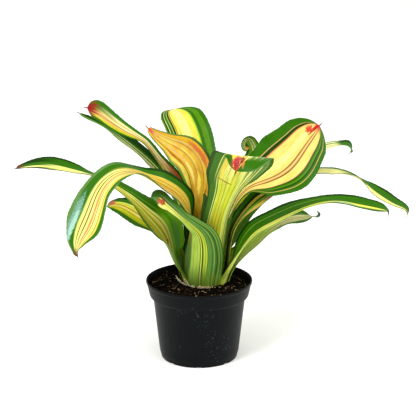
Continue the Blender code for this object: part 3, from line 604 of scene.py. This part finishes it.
# %% The stripes of every leaf
# Bands run from the clockwise margin to the other, seen from above.
FINISHES = dict(
    far_left=dict(
        # The j and h bands at the foot are lighter greens, painted light on a foot that lies in shade.
        bands="j20 h8 j8 l2 p5 v3 e1.6 p5 y6 e1.8 v6 p5 e1.4 v5 a7 e1.2 v6 s11 m6", foot_shade=0.0,
        tip=("5a2a18", 12, 2),
        zones=[("g22 m6 g8 l2 p5 v3 e1.6 p5 y6 e1.8 v6 p5 e1.4 v5 a7 e1.2 v6 s11 m6", 180, 12),
               ("d8 g36 l2 p44 v4 e6", 95, 12),
               ("d30 g32 l2 p18 v2 d20", 44, 16)],
        # The last spot, a pale green patch on the dark margin, is a painted sheen.
        spots=[(1, 63, 1.8, 2.2, 0, "8a2a0c"), (3, 61, 1.2, 1.4, 0, "7a2408"),
               (-18, 62, 4.5, 16, 8, "5f9c44")]),
    low_left=dict(
        bands="d10 g16 p3 v6 e0.8 y5 z5 b2.4 w7 y4 e0.8 z8 v5 e1 z7 m4 g18", tip=("3c5230", 8, 1.6),
        spots=[(-3, 146, 3, 4, 0, "b0503a")]),
    arching_left=dict(
        bands="m8 g10 d6 l2 s10 e1 s10 l2 s12 g10 d8", tip=("5a3018", 12, 2),
        # The second zone's first band, s8, and both spots are painted sheen on the outer margin.
        zones=[("d7 g13 e1 l2 a11 b1.2 a9 b1.8 o9 b1.2 t9 b1 a10 y6 m2 s4 g5", 250, 16),
               ("s8 g18 s2 l2 p7 b2.2 p7 b3 p6 k5 p3 b2 p9 e1.4 y6 m2 g7 s3", 120, 26)],
        spots=[(-17, 274, 4.6, 26, 0, "6c9480"), (-15, 284, 3, 18, 0, "94b8a6")]),
    curled_upper_left=dict(
        bands="d30 g12 m6 d10 g8 d14", tip=("7d1712", 17, 1.4),
        zones=[("d9 x26 b2 k9 t9 m2 t7 m2 y14 v6 g14", 168, 10),
               ("g14 s5 c10 t9 c9 k4 b2.6 t5 a5 z12 v3 g12", 118, 16),
               ("g34 l6 t12 k5 b2 t6 w8 z6 g12", 30, 22)]),
    pointed_upper_left=dict(
        bands="d30 g14 c5 g9 l4 c6 l12 c10 g4", tip=("3d4a20", 6, 1), zones=[("d44 g30 l8 g10 s8", 62, 22)]),
    orange=dict(
        bands="d6 b1.4 o14 a7 b1 o12 a8 b0.8 o11 a9 o9 e2.6 y11 p6 l3 m7", warm=0.7,
        tip=("b0483c", 13, 0.9),
        zones=[("s5 e1.6 o4 o14 t8 b1 a10 w6 o2 b1 a11 t9 o9 b2.8 a5 y9 a4 l2 s5", 60, 20)],
        # The two pale yellow spots are painted highlights; the first spot is a blush.
        spots=[(-16, 146, 2.2, 14, 0, "b0562a"), (-3, 118, 2.4, 12, 6, "dcc04c"),
               (5, 134, 1.8, 15, -4, "e4c468")]),
    tall_yellow=dict(
        bands="g9 m12 g8 l3 v3 y12 p22 y10 d1.6 y2 d5 l2 g6 c1.5 d4 m4", tip=("c98a78", 5, 0.4)),
    folded_front=dict(
        bands="d6 g17 p1 m4 p1.2 z6 m0.9 z9 e1 z10 e1.4 z9 m1 v5 p5 m1.4 p4 m3 p1 m3 p3 g6 p1 g6 d3",
        tip=("a3202a", 9, 0.5),
        zones=[("d6 g17 p1 m4 p1.2 v4 y2 m0.9 v5 y3 m1 v4 p1.5 v4 z1.4 v3 y2 v4 m1 v5 p5 "
                "m1.4 p4 m3 p4 m3 p3 g13 d3", 112, 16),
               ("d5 g14 p1 m3 s2 y10 p8 e1 p12 m1.4 y7 m1 p10 l3 s3 p5 s4 p1 s5 p1.4 s7 l1 "
                "g6 d3", 66, 16),
               ("s6 g19 k2 y9 k7 y8 c5 b1 y4 d3 g33 s4", 25, 5, 1)],
        spots=[(-8, 146, 0.6, 9.5, 72, "7a4010"), (-4.5, 203, 5, 8, 20, "a02434"),
               (-1, 208, 3.4, 6, 8, "8e1c2c"), (1.8, 200, 2.4, 5.5, -24, "6e1620"),
               (4.8, 203, 1.3, 5, -24, "b8762e")]),
    broad_right=dict(
        bands="g9 t0.8 g4 d3 m3 g3 d1.6 k1 w13 b1.8 k1.8 w1.6 k1.6 b1.6 w8 p10 w14 k2 b1 d5 t0.8 g18",
        foot_shade=0.1, tip=("a41014", 12, 0.6),
        zones=[("g16 t0.8 g5 d3 k6 w8 b2 k3 b2 w10 k7 d4 t0.8 g16", 9, 5)],
        spots=[(5, 217, 3.8, 5, -20, "b80a0e"), (1, 222, 1.8, 10, 0, "a00c10")]),
    curled_rear=dict(
        bands="g30 v8 o14 v6 g30", tip=("d8742a", 9, 1.2),
        zones=[("g8 m10 l4 s7 c4 l8 s6 c4 l8 m8 l6 g9 g6", 70, 8, 1)]),
    rear_right=dict(
        bands="m16 l2 m20 l1.4 m14 l1.4 g20 d6", foot_shade=0.0, tip=("8a4a26", 7, 0.9),
        zones=[("c18 l4 c20 s10 c10 m6", 150, 14),
               ("m20 g60 d20", 30, 5)]),
    far_right=dict(
        # The foot bands take light tones (y, w, j), painted light on a foot that lies in shade.
        bands="d2 y22 w3 y10 e2 j10 g8 y14 e2 d10 g14", foot_shade=0.05, tip=("b5622f", 8, 1.2),
        zones=[("g6 c24 p30 c14 l3 g8", 150, 14),
               ("e3 c20 p26 e2 g40 d9", 92, 12)]),
    right_front=dict(
        bands="l4 v13 l2 p13 l2 v7 p3 d3 g26 l1.5 g14 d8", foot_shade=0.0, tip=("2f4a14", 9, 1.5),
        # The spot is a painted highlight near the crest.
        zones=[("d10 g14 v6 p8 v6 d4 g34 d8", 78, 16)], spots=[(-4, 193, 3, 15, 0, "93ac76")]),
    low_right=dict(
        # The foot bands take light tones (j, q, c), painted light on a foot that lies in shade under its
        # neighbour.
        bands="j6 q14 l2 c9 l2 q14 j2 q12 l2 j8 m8", foot_shade=0.0, tip=("35561c", 14, 2),
        zones=[("g12 s8 c7 e2 c8 e2 c7 e2 c6 s10 g20", 76, 10)]),
    short_front=dict(
        bands="m5 s5 m4 s6 m8 g2 b1 d2 l3 d5 g2 m5 d1.2 m9 l1 g7 l1 g5 d4 m4 l1 g8 l1 g6",
        tip=("c23a20", 3, 0.7),
        zones=[("s3 l2 q7 l2 q10 l2 q7 d2.4 v1 p2 v1 d3.4 v5 l3 v3 e1.2 s5 m3 s3 g4 s3 l1 g5 "
                "d4 m4 l1.2 g4 s4 l1.4 g6", 132, 16),
               ("p26 v10 e2 p8 d8 s14 g30", 50, 14),
               ("g12 s30 g58", 15, 3)],
        spots=[(-4.6, 146, 2.2, 5.5, 0, "a4301e"), (-2, 143, 2, 4, -25, "942818"),
               (-6.5, 149, 1.6, 3, 30, "b8554a")]),
    low_rear=dict(bands="g22 l3 y26 b1 y14 l3 g24", tip=("8a3a20", 8, 1)),
    short_rear_right=dict(bands="g24 l3 v14 y16 v10 g24", tip=("8a3a20", 6, 1)),
    short_rear_left=dict(bands="g22 v10 y20 e1 v12 g26", tip=("8a3a20", 6, 1)),
    heart_left=dict(bands="d34 g18 d34", foot_shade=0.8, tip=("2c4310", 5, 1)),
    heart_right=dict(bands="d22 g18 l6 g18 d20", tip=("2c4310", 5, 1)),
)

# %% Build the leaves


def parse_stations(text):
    """Read "x y z width cup roll, ..." in mm and degrees; cup and roll are 30 and 0 where left out."""
    rows = [[float(word) for word in station.split()] for station in text.split(",")]
    return [tuple(row + [30.0, 0.0][len(row) - 4:]) for row in rows]


for number, (name, (degrees, layer, half_wrap, text)) in enumerate(LEAVES.items()):
    node = "leaf_" + name
    stations = sheath(degrees, layer, half_wrap) + parse_stations(text)
    piece, length, faces = add_blade(node + "_blade", stations, [node], number)
    assign(piece, leaf_finish(node + "_tissue", seed=number * 1.7, **FINISHES[name]))
    print(f"{node}: {length:.0f} mm long, {faces} faces")

# %% [markdown]
# ## The pot
#
# A nursery pot is injection moulded from black polypropylene: a thin tapered wall, a deep collar that
# stiffens the rim, a rolled lip, and a foot ring with notches round a raised floor with drain holes. Its
# profile is turned in fine steps with rounded corners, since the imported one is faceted, and the notches
# and the holes are cut with bars and rods. Pushing a cylinder's edges about would leave no wall.

# %% Pot shape
POT_WALL, COLLAR_BOTTOM = 1.3, 72.0
FOOT_RADIUS, FOOT_RING = 43.0, 3.2
PAD_RADIUS, FLOOR_LIFT, FLOOR_THICKNESS = 14.0, 2.0, 1.5
POT_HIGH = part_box("pot")[1] / MM
POT_RIM, POT_HEIGHT = round(POT_HIGH.x, 1), round(POT_HIGH.z, 1)


def rounded(profile, reach):
    """Cut each inner corner of a profile by three points of a quadratic curve, at most reach away from it."""
    profile = np.array(profile)
    points = [profile[0]]
    for before, corner, after in zip(profile, profile[1:], profile[2:]):
        start, end = (corner + way * min(reach / np.linalg.norm(way), 0.4)
                      for way in (before - corner, after - corner))
        points += [start, (start + 2 * corner + end) / 4, end]
    return np.array(points + [profile[-1]])


def build_ring(name, grid, slot, replaces):
    """Build a shell from a grid of points that closes on itself both ways."""
    return build(name, grid, grid_quads(*grid.shape[:2], closed=True), slot, replaces)


def turned(profile, steps):
    """Grid of points of a profile turned round the upright axis."""
    turn = np.arange(steps) * math.tau / steps
    radius, height = profile.T[..., None]
    return np.stack([radius * np.cos(turn), radius * np.sin(turn), height + 0 * turn], axis=2)


def pot_profile():
    """Closed half section: foot ring, up the outside to the rim, down the inside, and in over the floor."""
    outside = [(FOOT_RADIUS - FOOT_RING, 0.0), (FOOT_RADIUS, 0.0), (FOOT_RADIUS + 0.7, 3.0), (45.0, 7.5),
               (51.3, 64.0), (52.2, COLLAR_BOTTOM - 1.0), (52.8, COLLAR_BOTTOM), (55.8, COLLAR_BOTTOM + 1.0),
               (56.6, COLLAR_BOTTOM + 4.0), (58.3, POT_HEIGHT - 7.0), (58.9, POT_HEIGHT - 3.4),
               (POT_RIM, POT_HEIGHT - 2.8), (POT_RIM, POT_HEIGHT)]
    inside = [(58.8, POT_HEIGHT), (56.8, 82.2), (54.9, COLLAR_BOTTOM + 3.2), (50.9, COLLAR_BOTTOM - 1.4),
              (51.3 - POT_WALL, 64.0), (45.0 - POT_WALL, 8.4), (40.2, FLOOR_LIFT + FLOOR_THICKNESS)]
    floor = [(PAD_RADIUS + 1.4, FLOOR_LIFT + FLOOR_THICKNESS), (PAD_RADIUS - 1.0, FLOOR_THICKNESS),
             (0.05, FLOOR_THICKNESS), (0.05, 0.0), (PAD_RADIUS, 0.0), (PAD_RADIUS + 1.0, FLOOR_LIFT),
             (FOOT_RADIUS - FOOT_RING - 0.6, FLOOR_LIFT)]
    return rounded(outside + inside + floor, 0.8)


def cutter(name, location, size, turn, rod=False):
    """A bar, or a round rod with its radii for a size, in millimetres, turned about the pot's axis."""
    bm = bmesh.new()
    place = Matrix.Scale(MM, 4) @ Matrix.Rotation(turn, 4, "Z") @ Matrix.Translation(location)
    place = place @ Matrix.Diagonal((*size, 1.0))
    if rod:
        bmesh.ops.create_cone(bm, cap_ends=True, segments=32, radius1=1, radius2=1, depth=1, matrix=place)
    else:
        bmesh.ops.create_cube(bm, size=1.0, matrix=place)
    mesh = bpy.data.meshes.new(name)
    bm.to_mesh(mesh)
    bm.free()
    return add_object(name, mesh)


def cut(piece, cutters):
    """Take the cutters out of a piece's mesh with exact Booleans, then drop them."""
    for tool in cutters:
        step = piece.modifiers.new(tool.name, "BOOLEAN")
        step.object, step.operation, step.solver = tool, "DIFFERENCE", "EXACT"
    bpy.context.view_layer.update()
    done = bpy.data.meshes.new_from_object(piece.evaluated_get(bpy.context.evaluated_depsgraph_get()))
    piece.modifiers.clear()
    piece.data = done
    for tool in cutters:
        bpy.data.objects.remove(tool)


pot = build_ring("pot_moulding", turned(pot_profile(), 144), "black_plastic", ["pot"])
DRAIN_HOLES, FOOT_NOTCHES = 6, 8
cut(pot, [cutter("drain", (27.0, 0, 2.5), (3.0, 3.0, 8.0), math.tau * (n + 0.5) / DRAIN_HOLES, True)
          for n in range(DRAIN_HOLES)]
    + [cutter("notch", (FOOT_RADIUS - FOOT_RING / 2, 0, 0), (9.0, 6.0, 3.0), math.tau * n / FOOT_NOTCHES)
       for n in range(FOOT_NOTCHES)])
pot.data.shade_smooth()
pot.data.set_sharp_from_angle(angle=math.radians(32))
print("pot:", len(pot.data.polygons), "faces,", [round(v, 1) for v in POT_HIGH], "mm to its corner")

# %% Moulded black plastic


def pot_finish():
    """Near-black plastic, dusty in small specks, with faint scuffs."""
    start = new_finish("black_plastic", 0.4, 0.08)
    place = start.place()
    x, y, z = place.axes()
    dust = start.noise(place, 420.0, 2.0)
    cloud = start.noise(place, 28.0, 3.0)
    specks = (dust * 0.62 + cloud * 0.4).fade(0.60, 0.70)
    scuff = start.grain(x * 90.0, y * 90.0, z * 900.0, 2.0)
    colour = (specks * 0.45).blend("020607", "3c4644")
    colour = (scuff.fade(0.6, 0.75) * 0.10).blend(colour, "1c2426")
    colour.feed("Base Color")
    (0.36 + cloud * 0.14 + specks * 0.2).feed("Roughness")
    (dust * 0.6 + scuff * 0.4).feed_bump(0.0002, 0.4)
    return start.material


assign(pot, pot_finish())

# %% [markdown]
# ## The soil
#
# The mix is dark peat with composted bark and a little coir. Its surface is lumpy, and loose crumbs,
# chips and fibres lie on it. A flat disc with a bump map would look printed, so the ground is a noisy
# ring-shaped surface under nearly two thousand small solids with few faces.

# %% Ground surface
SOIL_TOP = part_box("soil")[1].z / MM
HOLE_RADIUS, POT_INSIDE = 26.8, 56.4
MOUND_RADIUS, MOUND_RUN, MOUND_FALL, SINK = 34, 22, 2.6, 0.4
LUMPS = ((7.0, 2.2, 3), (2.4, 1.4, 4))  # spacing, height and seed
CRUMB_CLEARING, FIBRE_CLEARING = 29.5, 31.0
LOOSE_REACH, FIBRE_REACH = 55.0, 55.5


def ground_height(x, y):
    """Height of the ground: a gentle mound round the plant with two sizes of lump."""
    fall = MOUND_FALL * np.clip((np.hypot(x, y) - MOUND_RADIUS) / MOUND_RUN, 0, 1) ** 1.3
    lumps = sum((value_noise(x, y, spacing, seed) - 0.5) * height for spacing, height, seed in LUMPS)
    return SOIL_TOP - SINK - fall + lumps


def soil_ring():
    """A closed ring: from its inner edge out over the ground, down the pot's wall, and back underneath."""
    turns, rings = 180, 44
    angle = np.linspace(0, math.tau, turns, endpoint=False)[:, None]
    circle = np.concatenate([np.cos(angle), np.sin(angle)], axis=1)
    share = np.linspace(0, 1, rings)[None, :, None]
    flat = (PLANT + HOLE_RADIUS * circle)[:, None] * (1 - share) + (POT_INSIDE * circle)[:, None] * share
    top = np.concatenate([flat, ground_height(flat[..., 0], flat[..., 1])[..., None]], axis=2)
    hoops = [(0, 50.3, 69.0), (0, 49.4, 64.0), (0, 43.2, 9.0), (0, 39.6, 4.0), (0, 12.0, 4.0),
             (PLANT, 8.0, 36.0), (PLANT, 29.4, 68.0)]  # centre, radius and height
    below = np.stack([np.concatenate([centre + radius * circle, angle * 0 + height], axis=1)
                      for centre, radius, height in hoops], axis=1)
    return np.concatenate([top, below], axis=1)


soil = build_ring("soil_ground", soil_ring(), "peat", ["soil"])
print("soil:", len(soil.data.polygons), "faces")

# %% Peat


def peat_finish():
    """Almost black, with brown crumbs at two sizes and a rough relief."""
    start = new_finish("peat_mix", 0.95, 0.03)
    place = start.place()
    coarse = start.noise(place, 260.0, 4.0, 0.7)
    fine = start.noise(place, 900.0, 3.0, 0.6)
    mix = coarse * 0.6 + fine * 0.4
    colour = mix.ramp([(0.30, "020201"), (0.55, "060403"), (0.66, "120b06"), (0.78, "2c1c0f")])
    colour.feed("Base Color")
    mix.feed_bump(0.0018, 0.9)
    return start.material


assign(soil, peat_finish())

# %% Crumbs, chips and fibres


def icosahedron():
    """Twelve corners (0, 1, golden ratio) in cyclic order, and their twenty faces."""
    g = (1 + 5 ** 0.5) / 2
    corners = np.array([(-1, g, 0), (1, g, 0), (-1, -g, 0), (1, -g, 0), (0, -1, g), (0, 1, g), (0, -1, -g),
                        (0, 1, -g), (g, 0, -1), (g, 0, 1), (-g, 0, -1), (-g, 0, 1)]) / math.hypot(1, g)
    faces = np.array([(0, 11, 5), (0, 5, 1), (0, 1, 7), (0, 7, 10), (0, 10, 11), (1, 5, 9), (5, 11, 4),
                      (11, 10, 2), (10, 7, 6), (7, 1, 8), (3, 9, 4), (3, 4, 2), (3, 2, 6), (3, 6, 8),
                      (3, 8, 9), (4, 9, 5), (2, 4, 11), (6, 2, 10), (8, 6, 7), (9, 8, 1)])
    return corners, faces


def random_turns(random, count):
    """Rotation matrices from the QR factors of random matrices, with their handedness made right."""
    turns = np.linalg.qr(random.normal(size=(count, 3, 3)))[0]
    turns[:, :, 0] *= np.sign(np.linalg.det(turns))[:, None]
    return turns


def scatter(random, count, inner):
    """Random places on the ground, by rejection: further than inner from the plant's middle."""
    places = np.empty((0, 2))
    while len(places) < count:
        angle, out = random.random(count) * math.tau, np.sqrt(random.random(count)) * LOOSE_REACH
        spot = np.stack([np.cos(angle) * out, np.sin(angle) * out], axis=1)
        places = np.concatenate([places, spot[np.hypot(*(spot - PLANT).T) > inner]])
    return places[:count]


def add_loose(name, points, faces, tones, smooth, material):
    """Build many small solids, each with the same faces and with a tone of its own, as one piece."""
    count, corners = points.shape[:2]
    all_faces = (faces + corners * np.arange(count)[:, None, None]).reshape(-1, 3)
    tone = np.repeat(tones, corners)
    piece = build(name, points, all_faces, "peat", (), smooth, tone=np.stack([tone] * 3, axis=1))
    assign(piece, material)
    print(f"{name}: {count} bits, {len(all_faces)} faces")


def add_crumbs(name, count, sizes, stretch, lift, seed, material):
    """Many irregular solids: an icosahedron with jittered corners, stretched, turned and laid down."""
    random = np.random.default_rng(seed)
    corners, faces = icosahedron()
    size = random.uniform(*sizes, count)[:, None, None]
    shape = corners * (1 + random.uniform(-0.28, 0.28, (count, len(corners), 1))) * size * stretch
    shape = np.einsum("nij,nkj->nki", random_turns(random, count), shape)
    shape[..., 2] *= 0.7
    spot = scatter(random, count, CRUMB_CLEARING)
    spot = np.concatenate([spot, ground_height(*spot.T)[:, None] + lift * size[:, 0]], axis=1)
    add_loose(name, shape + spot[:, None], faces, random.random(count), False, material)


def add_fibres(name, count, seed, material):
    """Thin bent fibres: a three-sided tube along a random quadratic curve lying on the ground."""
    random = np.random.default_rng(seed)
    spot = scatter(random, count, FIBRE_CLEARING)
    heading = random.random((count, 1)) * math.tau
    east, north = np.cos(heading), np.sin(heading)
    reach = random.uniform(2.0, 5.5, (count, 1))
    bend = random.uniform(-0.5, 0.5, (count, 1))
    taper = np.array([0.4, 1, 1, 1, 1, 0.4])[:, None, None]
    s = np.linspace(-0.5, 0.5, len(taper))
    run, swing = s * reach, (s * s - 0.08) * bend * reach
    x, y = spot[:, :1] + run * east - swing * north, spot[:, 1:] + run * north + swing * east
    z = ground_height(x, y) + 0.5 + 0.9 * random.random((count, 1)) * (s + 0.5)
    x, y = np.clip([x, y], -FIBRE_REACH, FIBRE_REACH)
    line = np.stack([x, y, z], axis=2)
    turn = np.linspace(0, math.tau, 3, endpoint=False)[:, None]
    side = np.stack([-north, east, 0 * east], axis=2)[:, None]
    ring = np.cos(turn) * side + np.sin(turn) * np.array([0.0, 0.0, 1.0])
    ring = ring * taper * random.uniform(0.14, 0.3, (count, 1, 1, 1))
    points = (line[:, :, None] + ring).reshape(count, -1, 3)
    quads, last = grid_quads(len(taper), 3), 3 * len(taper) - 1
    ends = [(0, 1, 2), (last, last - 1, last - 2)]
    faces = np.concatenate([quads[:, [0, 1, 2]], quads[:, [0, 2, 3]], ends])
    add_loose(name, points, faces, random.random(count), True, material)


def crumb_finish(name, stops, roughness):
    """A colour for each bit, read from its own tone, with fine grain."""
    start = new_finish(name, roughness, 0.04)
    tone, grain = start.layer("tone", "Fac"), start.noise(start.place(), 1400.0, 2.0)
    (tone + (grain - 0.5) * 0.25).ramp(stops).feed("Base Color")
    grain.feed_bump(0.0003, 0.6)
    return start.material


# Colours by tone: nearly all crumbs are dark, a few chips are pale, and coir runs to straw.
DARK_CRUMBS = [(0.0, "020201"), (0.7, "070503"), (0.9, "120b06"), (1.0, "26190e")]
BARK_CHIPS = [(0.0, "050302"), (0.78, "100905"), (0.93, "3a2613"), (1.0, "8a7044")]
COIR = [(0.0, "24170b"), (0.6, "5c4324"), (1.0, "cbb387")]
dark, bark = crumb_finish("dark_crumbs", DARK_CRUMBS, 0.9), crumb_finish("bark_chips", BARK_CHIPS, 0.9)
add_crumbs("soil_crumbs", 1500, (0.6, 1.7), (1.0, 0.8, 0.7), 0.25, 11, dark)
add_crumbs("soil_bark_chips", 260, (0.7, 1.6), (1.9, 0.7, 0.45), 0.5, 12, bark)
add_fibres("soil_coir_fibres", 170, 13, crumb_finish("coir", COIR, 0.8))

# %% [markdown]
# ## Stem, roots and husks
#
# Under the leaves is a short stem that hardly shows. Round its foot the oldest sheaths have dried to
# papery husks with torn edges. A husk is the same kind of sheet as a leaf, but its top edge is ragged.

# %% Husks
# Angle round the stem, half wrap, height and outward lean; up to HUSK_WHOLE the sheet has no tears.
HUSK_WHOLE, HUSK_THICKNESS, HUSK_RIPPLE = 13.0, 0.4, 0.35
HUSKS = dict(husk_left=(218, 30, 24.0, 3.4), husk_front=(-88, 20, 15.6, 1.5), husk_rear=(60, 34, 26.0, 5.0))


def husk_sheet(degrees, half_wrap, height, lean, seed):
    """A sheet round the stem: radius grows with rise, and the top edge is cut down by noise."""
    radius, rows, count = OUTER_RADIUS, 26, 49
    t = np.linspace(-1, 1, count)[None, :]
    share = np.linspace(0, 1, rows)[:, None]
    angle = np.radians(degrees + half_wrap * t) + 0 * share
    place = t * half_wrap
    ragged = value_noise(place, 0 * t, 4.0, seed) - 0.3 * value_noise(place, 0 * t, 1.1, seed + 1)
    low = min(HUSK_WHOLE, height - 3.0)
    rise = share * (low + (height - low) * np.clip(ragged * 1.3, 0.0, 1.0) * (1 - np.abs(t) ** 4))
    out = flared(radius, rise) + lean * (rise / height) ** 2
    out = out + HUSK_RIPPLE * np.sin(t * 9 + seed) * share
    return np.stack([PLANT[0] + out * np.cos(angle), PLANT[1] + out * np.sin(angle), seat_of(radius) + rise],
                    axis=2)


def husk_finish():
    """Dry sheath: pale straw with brown blotches and fine ribs."""
    start = new_finish("dry_husk", 0.75, 0.3)
    x, y, z = start.place().axes()
    ribs = start.grain(x * 900.0, y * 900.0, z * 60.0, 2.0)
    blotch = start.grain(x * 120.0, y * 120.0, z * 120.0, 3.0)
    colour = (ribs * 0.5 + blotch * 0.5).ramp([(0.28, "5e4020"), (0.39, "a88a5a"), (0.53, "e0d4a8")])
    colour.feed("Base Color")
    ribs.feed_bump(0.0004, 0.7)
    return start.material


dry_husk = husk_finish()
for number, (node, (degrees, half_wrap, height, lean)) in enumerate(HUSKS.items()):
    sheet = husk_sheet(degrees, half_wrap, height, lean, 20 + number)
    angle = math.radians(degrees)
    facing = np.tile([-math.cos(angle), -math.sin(angle), 0.0], (len(sheet), 1))
    shell, faces = thicken(sheet, facing, np.full(sheet.shape[:2], HUSK_THICKNESS))
    husk = build(node + "_paper", shell, faces, "husk_paper", [node])
    assign(husk, dry_husk)
    print(node, len(faces), "faces")

# %% Stem and roots


def stem_finish():
    """Dull brown, fibrous up and down."""
    start = new_finish("stem_bark", 0.85, 0.3)
    x, y, z = start.place().axes()
    strands = start.grain(x * 500.0, y * 500.0, z * 90.0, 3.0)
    strands.ramp([(0.35, "1d150c"), (0.55, "4a3a22"), (0.7, "7a6a40")]).feed("Base Color")
    strands.feed_bump(0.0008, 0.8)
    return start.material


assign(NODES["stem_and_roots"], stem_finish())

# %% [markdown]
# ## Floor, light and camera
#
# The plant stands on a plain pale floor in a bright, even studio: a white surround, one large soft light
# from the upper left and a weaker one from the right, so that the leaves keep their form.

# %% Floor


def add_floor():
    """A wide flat floor, longer behind the plant than in front of it."""
    mesh = bpy.data.meshes.new("floor")
    mesh.from_pydata([(-4, -3, 0), (4, -3, 0), (4, 4, 0), (-4, 4, 0)], [], [(0, 1, 2, 3)])
    start = new_finish("floor_paint", 0.9, 0.1)
    grain = start.noise(start.place(), 3.0, 2.0)
    grain.blend("f7f7f4", "fbfbf9").feed("Base Color")
    mesh.materials.append(start.material)
    floor = add_object("floor", mesh)


add_floor()

# %% Light
LIGHT_AIM = (0.0, 0.0, 0.15)


def add_light(name, energy, size, place):
    """A square area light turned towards the plant."""
    light = bpy.data.lights.new(name, "AREA")
    light.energy, light.size = energy, size
    lamp = add_object(name, light)
    lamp.location = place
    lamp.rotation_euler = (Vector(LIGHT_AIM) - Vector(place)).to_track_quat("-Z", "Y").to_euler()


world = bpy.data.worlds.new("studio")
world.use_nodes = True
surround = world.node_tree.nodes["Background"].inputs
surround["Color"].default_value = (1.0, 1.0, 1.0, 1.0)
surround["Strength"].default_value = 1.0
bpy.context.scene.world = world
bpy.context.scene.view_settings.view_transform = "Standard"
add_light("key", 29.0, 0.9, (-0.9, -1.0, 1.5))
add_light("fill", 15.0, 1.2, (1.3, -0.6, 0.9))

# %% Camera
ELEVATION = math.radians(16.6)
DISTANCE = 1.8
AIM = (0.010, 0.0, 0.1745)
camera = add_object("camera", bpy.data.cameras.new("camera"))
camera.data.sensor_width, camera.data.lens = 36.0, 139.7
camera.location = (AIM[0], AIM[1] - DISTANCE * math.cos(ELEVATION), AIM[2] + DISTANCE * math.sin(ELEVATION))
camera.rotation_euler = (math.pi / 2 - ELEVATION, 0.0, 0.0)
bpy.context.scene.camera = camera
